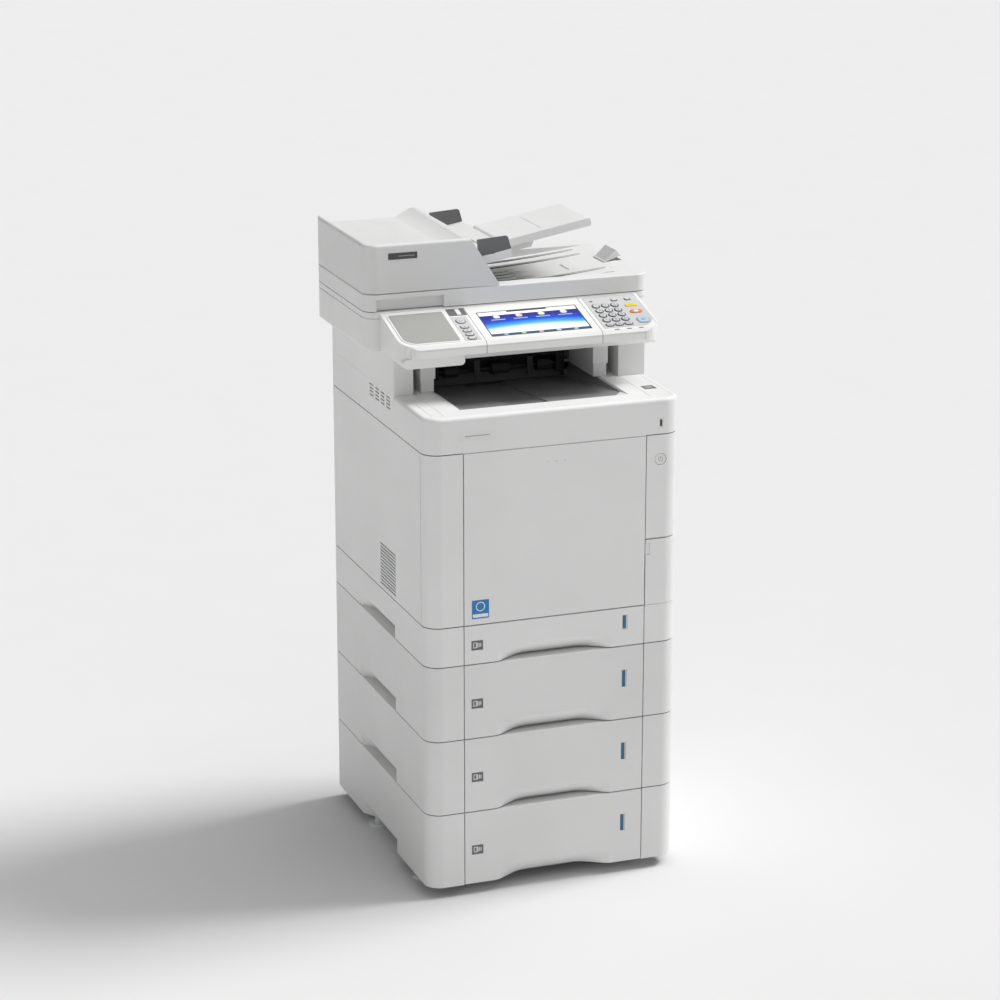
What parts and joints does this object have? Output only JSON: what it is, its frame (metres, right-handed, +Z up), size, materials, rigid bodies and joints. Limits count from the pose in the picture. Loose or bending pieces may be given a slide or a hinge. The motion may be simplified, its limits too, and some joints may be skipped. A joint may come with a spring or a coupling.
{
  "type": "multifunction photocopier",
  "caption": "Floor-standing office photocopier: paper drawers, print engine with output bay, flatbed scanner, document feeder and sloping touch panel.",
  "frame": {"origin": "on the floor, at the middle of the machine's bounding box", "axes": "+Z up, +Y from the front (drawers and panel) towards the back, +X to the right as seen by the user at the front"},
  "size_m": [0.441, 0.47, 0.9424],
  "materials": {
    "cover_plastic": "fine textured off-white ABS",
    "dark_plastic": "satin black",
    "tray_plastic": "satin dark grey",
    "grey_plastic": "satin grey",
    "foot_plastic": "translucent white nylon",
    "sheet_steel": "zinc-plated sheet",
    "motor_metal": "grey",
    "drum_coating": "photoconductive coating, teal",
    "toner_plastic": "satin",
    "belt_film": "semi-gloss film",
    "fuser_film": "release layer",
    "silicone": "matt",
    "circuit_board": "solder resist",
    "glass": "polished",
    "foam_white": "white film on foam",
    "roller_rubber": "matt",
    "display": "glossy touch display",
    "key_light": "satin light grey",
    "key_yellow": "satin",
    "key_orange": "satin",
    "key_blue": "satin"
  },
  "bodies": {
    "machine": {"feet": "foot_plastic", "feeder_housing_2": "cover_plastic", "feeder_housing_3": "cover_plastic", "feeder_housing_4": "cover_plastic", "base_housing": "cover_plastic", "main_frame": "sheet_steel", "left_cover": "cover_plastic", "right_cover": "cover_plastic", "rear_cover": "cover_plastic", "left_pillar": "cover_plastic", "power_column": "cover_plastic", "top_cover": "cover_plastic", "output_tray": "cover_plastic", "scanner_stand": "cover_plastic", "exit_unit": "dark_plastic", "toner_containers": "toner_plastic", "transfer_belt": "belt_film", "fuser_housing": "dark_plastic", "laser_unit": "dark_plastic", "drive_motor": "motor_metal", "power_supply": "circuit_board", "scanner_housing": "cover_plastic", "scanner_top": "cover_plastic", "platen_glass": "glass", "control_panel": "cover_plastic", "screen": "display"},
    "cassette_1": {"cassette_front_1": "cover_plastic", "cassette_tray_1": "tray_plastic"},
    "cassette_2": {"cassette_front_2": "cover_plastic", "cassette_tray_2": "tray_plastic"},
    "cassette_3": {"cassette_front_3": "cover_plastic", "cassette_tray_3": "tray_plastic"},
    "cassette_4": {"cassette_front_4": "cover_plastic", "cassette_tray_4": "tray_plastic"},
    "front_cover_body": {"front_cover": "cover_plastic"},
    "waste_cover_body": {"waste_cover": "cover_plastic"},
    "rear_door_body": {"rear_door": "cover_plastic"},
    "power_button_body": {"power_button": "cover_plastic"},
    "exit_roller_body": {"exit_roller": "roller_rubber"},
    "drum_1_body": {"drum_1": "drum_coating"},
    "drum_2_body": {"drum_2": "drum_coating"},
    "drum_3_body": {"drum_3": "drum_coating"},
    "drum_4_body": {"drum_4": "drum_coating"},
    "heat_roller_body": {"heat_roller": "fuser_film"},
    "pressure_roller_body": {"pressure_roller": "silicone"},
    "fan_body": {"cooling_fan": "dark_plastic"},
    "carriage_body": {"carriage": "dark_plastic"},
    "lid": {"adf_base": "cover_plastic", "platen_pad": "foam_white"},
    "feeder_cover": {"adf_cover": "cover_plastic"},
    "document_tray_body": {"document_tray": "cover_plastic"},
    "guide_front_body": {"guide_front": "grey_plastic"},
    "guide_rear_body": {"guide_rear": "grey_plastic"},
    "stopper_body": {"stopper_flap": "cover_plastic"},
    "adf_roller_body": {"adf_roller": "roller_rubber"},
    "number_keys_body": {"number_keys": "key_light"},
    "function_keys_body": {"function_keys": "key_light"},
    "reset_key_body": {"reset_key": "key_yellow"},
    "stop_key_body": {"stop_key": "key_orange"},
    "start_key_body": {"start_key": "key_blue"}
  },
  "joints": [
    {"name": "cassette_1_slide", "type": "slide", "parent": "machine", "child": "cassette_1", "axis": [0, -1, 0], "range_m": [0, 0.3]},
    {"name": "cassette_2_slide", "type": "slide", "parent": "machine", "child": "cassette_2", "axis": [0, -1, 0], "range_m": [0, 0.3]},
    {"name": "cassette_3_slide", "type": "slide", "parent": "machine", "child": "cassette_3", "axis": [0, -1, 0], "range_m": [0, 0.3]},
    {"name": "cassette_4_slide", "type": "slide", "parent": "machine", "child": "cassette_4", "axis": [0, -1, 0], "range_m": [0, 0.3]},
    {"name": "front_cover_hinge", "type": "hinge", "parent": "machine", "child": "front_cover_body", "pos_m": [0, -0.228, 0.434], "axis": [1, 0, 0], "range_deg": [0, 80]},
    {"name": "waste_cover_hinge", "type": "hinge", "parent": "machine", "child": "waste_cover_body", "pos_m": [0.188, -0.217, 0.46], "axis": [0, 0, 1], "range_deg": [0, 80]},
    {"name": "rear_door_hinge", "type": "hinge", "parent": "machine", "child": "rear_door_body", "pos_m": [0, 0.211, 0.46], "axis": [-1, 0, 0], "range_deg": [0, 85]},
    {"name": "power_button_press", "type": "slide", "parent": "machine", "child": "power_button_body", "axis": [0, 1, 0], "range_m": [0, 0.001], "stiffness_N_per_m": 600},
    {"name": "exit_roller_spin", "type": "hinge", "parent": "machine", "child": "exit_roller_body", "pos_m": [0, 0.009, 0.729], "axis": [1, 0, 0], "continuous": true},
    {"name": "drum_1_spin", "type": "hinge", "parent": "machine", "child": "drum_1_body", "pos_m": [0, -0.1, 0.505], "axis": [1, 0, 0], "continuous": true},
    {"name": "drum_2_spin", "type": "hinge", "parent": "machine", "child": "drum_2_body", "pos_m": [0, -0.038, 0.505], "axis": [1, 0, 0], "continuous": true},
    {"name": "drum_3_spin", "type": "hinge", "parent": "machine", "child": "drum_3_body", "pos_m": [0, 0.024, 0.505], "axis": [1, 0, 0], "continuous": true},
    {"name": "drum_4_spin", "type": "hinge", "parent": "machine", "child": "drum_4_body", "pos_m": [0, 0.086, 0.505], "axis": [1, 0, 0], "continuous": true},
    {"name": "heat_roller_spin", "type": "hinge", "parent": "machine", "child": "heat_roller_body", "pos_m": [0, 0.134, 0.59], "axis": [1, 0, 0], "continuous": true},
    {"name": "pressure_roller_spin", "type": "hinge", "parent": "machine", "child": "pressure_roller_body", "pos_m": [0, 0.1623, 0.59], "axis": [1, 0, 0], "continuous": true},
    {"name": "fan_spin", "type": "hinge", "parent": "machine", "child": "fan_body", "pos_m": [0, -0.059, 0.457], "axis": [1, 0, 0], "continuous": true},
    {"name": "carriage_slide", "type": "slide", "parent": "machine", "child": "carriage_body", "axis": [1, 0, 0], "range_m": [0, 0.33]},
    {"name": "lid_hinge", "type": "hinge", "parent": "machine", "child": "lid", "pos_m": [0, 0.206, 0.838], "axis": [-1, 0, 0], "range_deg": [0, 75]},
    {"name": "feeder_cover_hinge", "type": "hinge", "parent": "lid", "child": "feeder_cover", "pos_m": [-0.2095, 0, 0.9047], "axis": [0, -1, 0], "range_deg": [0, 55]},
    {"name": "document_tray_hinge", "type": "hinge", "parent": "lid", "child": "document_tray_body", "pos_m": [0.016, 0.078, 0.91206], "axis": [0, -1, 0], "range_deg": [0, 60]},
    {"name": "guide_front_slide", "type": "slide", "parent": "lid", "child": "guide_front_body", "axis": [0, 1, 0], "range_m": [0, 0.055]},
    {"name": "guide_rear_slide", "type": "slide", "parent": "lid", "child": "guide_rear_body", "axis": [0, 1, 0], "range_m": [-0.055, 0]},
    {"name": "stopper_hinge", "type": "hinge", "parent": "lid", "child": "stopper_body", "pos_m": [0.191, 0.0755, 0.8651], "axis": [0, -1, 0], "range_deg": [-43, 0]},
    {"name": "adf_roller_spin", "type": "hinge", "parent": "lid", "child": "adf_roller_body", "pos_m": [-0.09, 0, 0.9], "axis": [0, 1, 0], "continuous": true},
    {"name": "number_keys_press", "type": "slide", "parent": "machine", "child": "number_keys_body", "axis": [0, 0.2656, -0.9641], "range_m": [0, 0.001], "stiffness_N_per_m": 400},
    {"name": "function_keys_press", "type": "slide", "parent": "machine", "child": "function_keys_body", "axis": [0, 0.2656, -0.9641], "range_m": [0, 0.001], "stiffness_N_per_m": 400},
    {"name": "reset_key_press", "type": "slide", "parent": "machine", "child": "reset_key_body", "axis": [0, 0.2656, -0.9641], "range_m": [0, 0.001], "stiffness_N_per_m": 300},
    {"name": "stop_key_press", "type": "slide", "parent": "machine", "child": "stop_key_body", "axis": [0, 0.2656, -0.9641], "range_m": [0, 0.001], "stiffness_N_per_m": 300},
    {"name": "start_key_press", "type": "slide", "parent": "machine", "child": "start_key_body", "axis": [0, 0.2656, -0.9641], "range_m": [0, 0.001], "stiffness_N_per_m": 300}
  ],
  "couplings": [
    {"joint": "drum_2_spin", "follows": "drum_1_spin", "ratio": 1},
    {"joint": "drum_3_spin", "follows": "drum_1_spin", "ratio": 1},
    {"joint": "drum_4_spin", "follows": "drum_1_spin", "ratio": 1},
    {"joint": "heat_roller_spin", "follows": "drum_1_spin", "ratio": 0.857},
    {"joint": "pressure_roller_spin", "follows": "drum_1_spin", "ratio": -0.857},
    {"joint": "exit_roller_spin", "follows": "drum_1_spin", "ratio": 1.333},
    {"joint": "guide_rear_slide", "follows": "guide_front_slide", "ratio": -1}
  ]
}
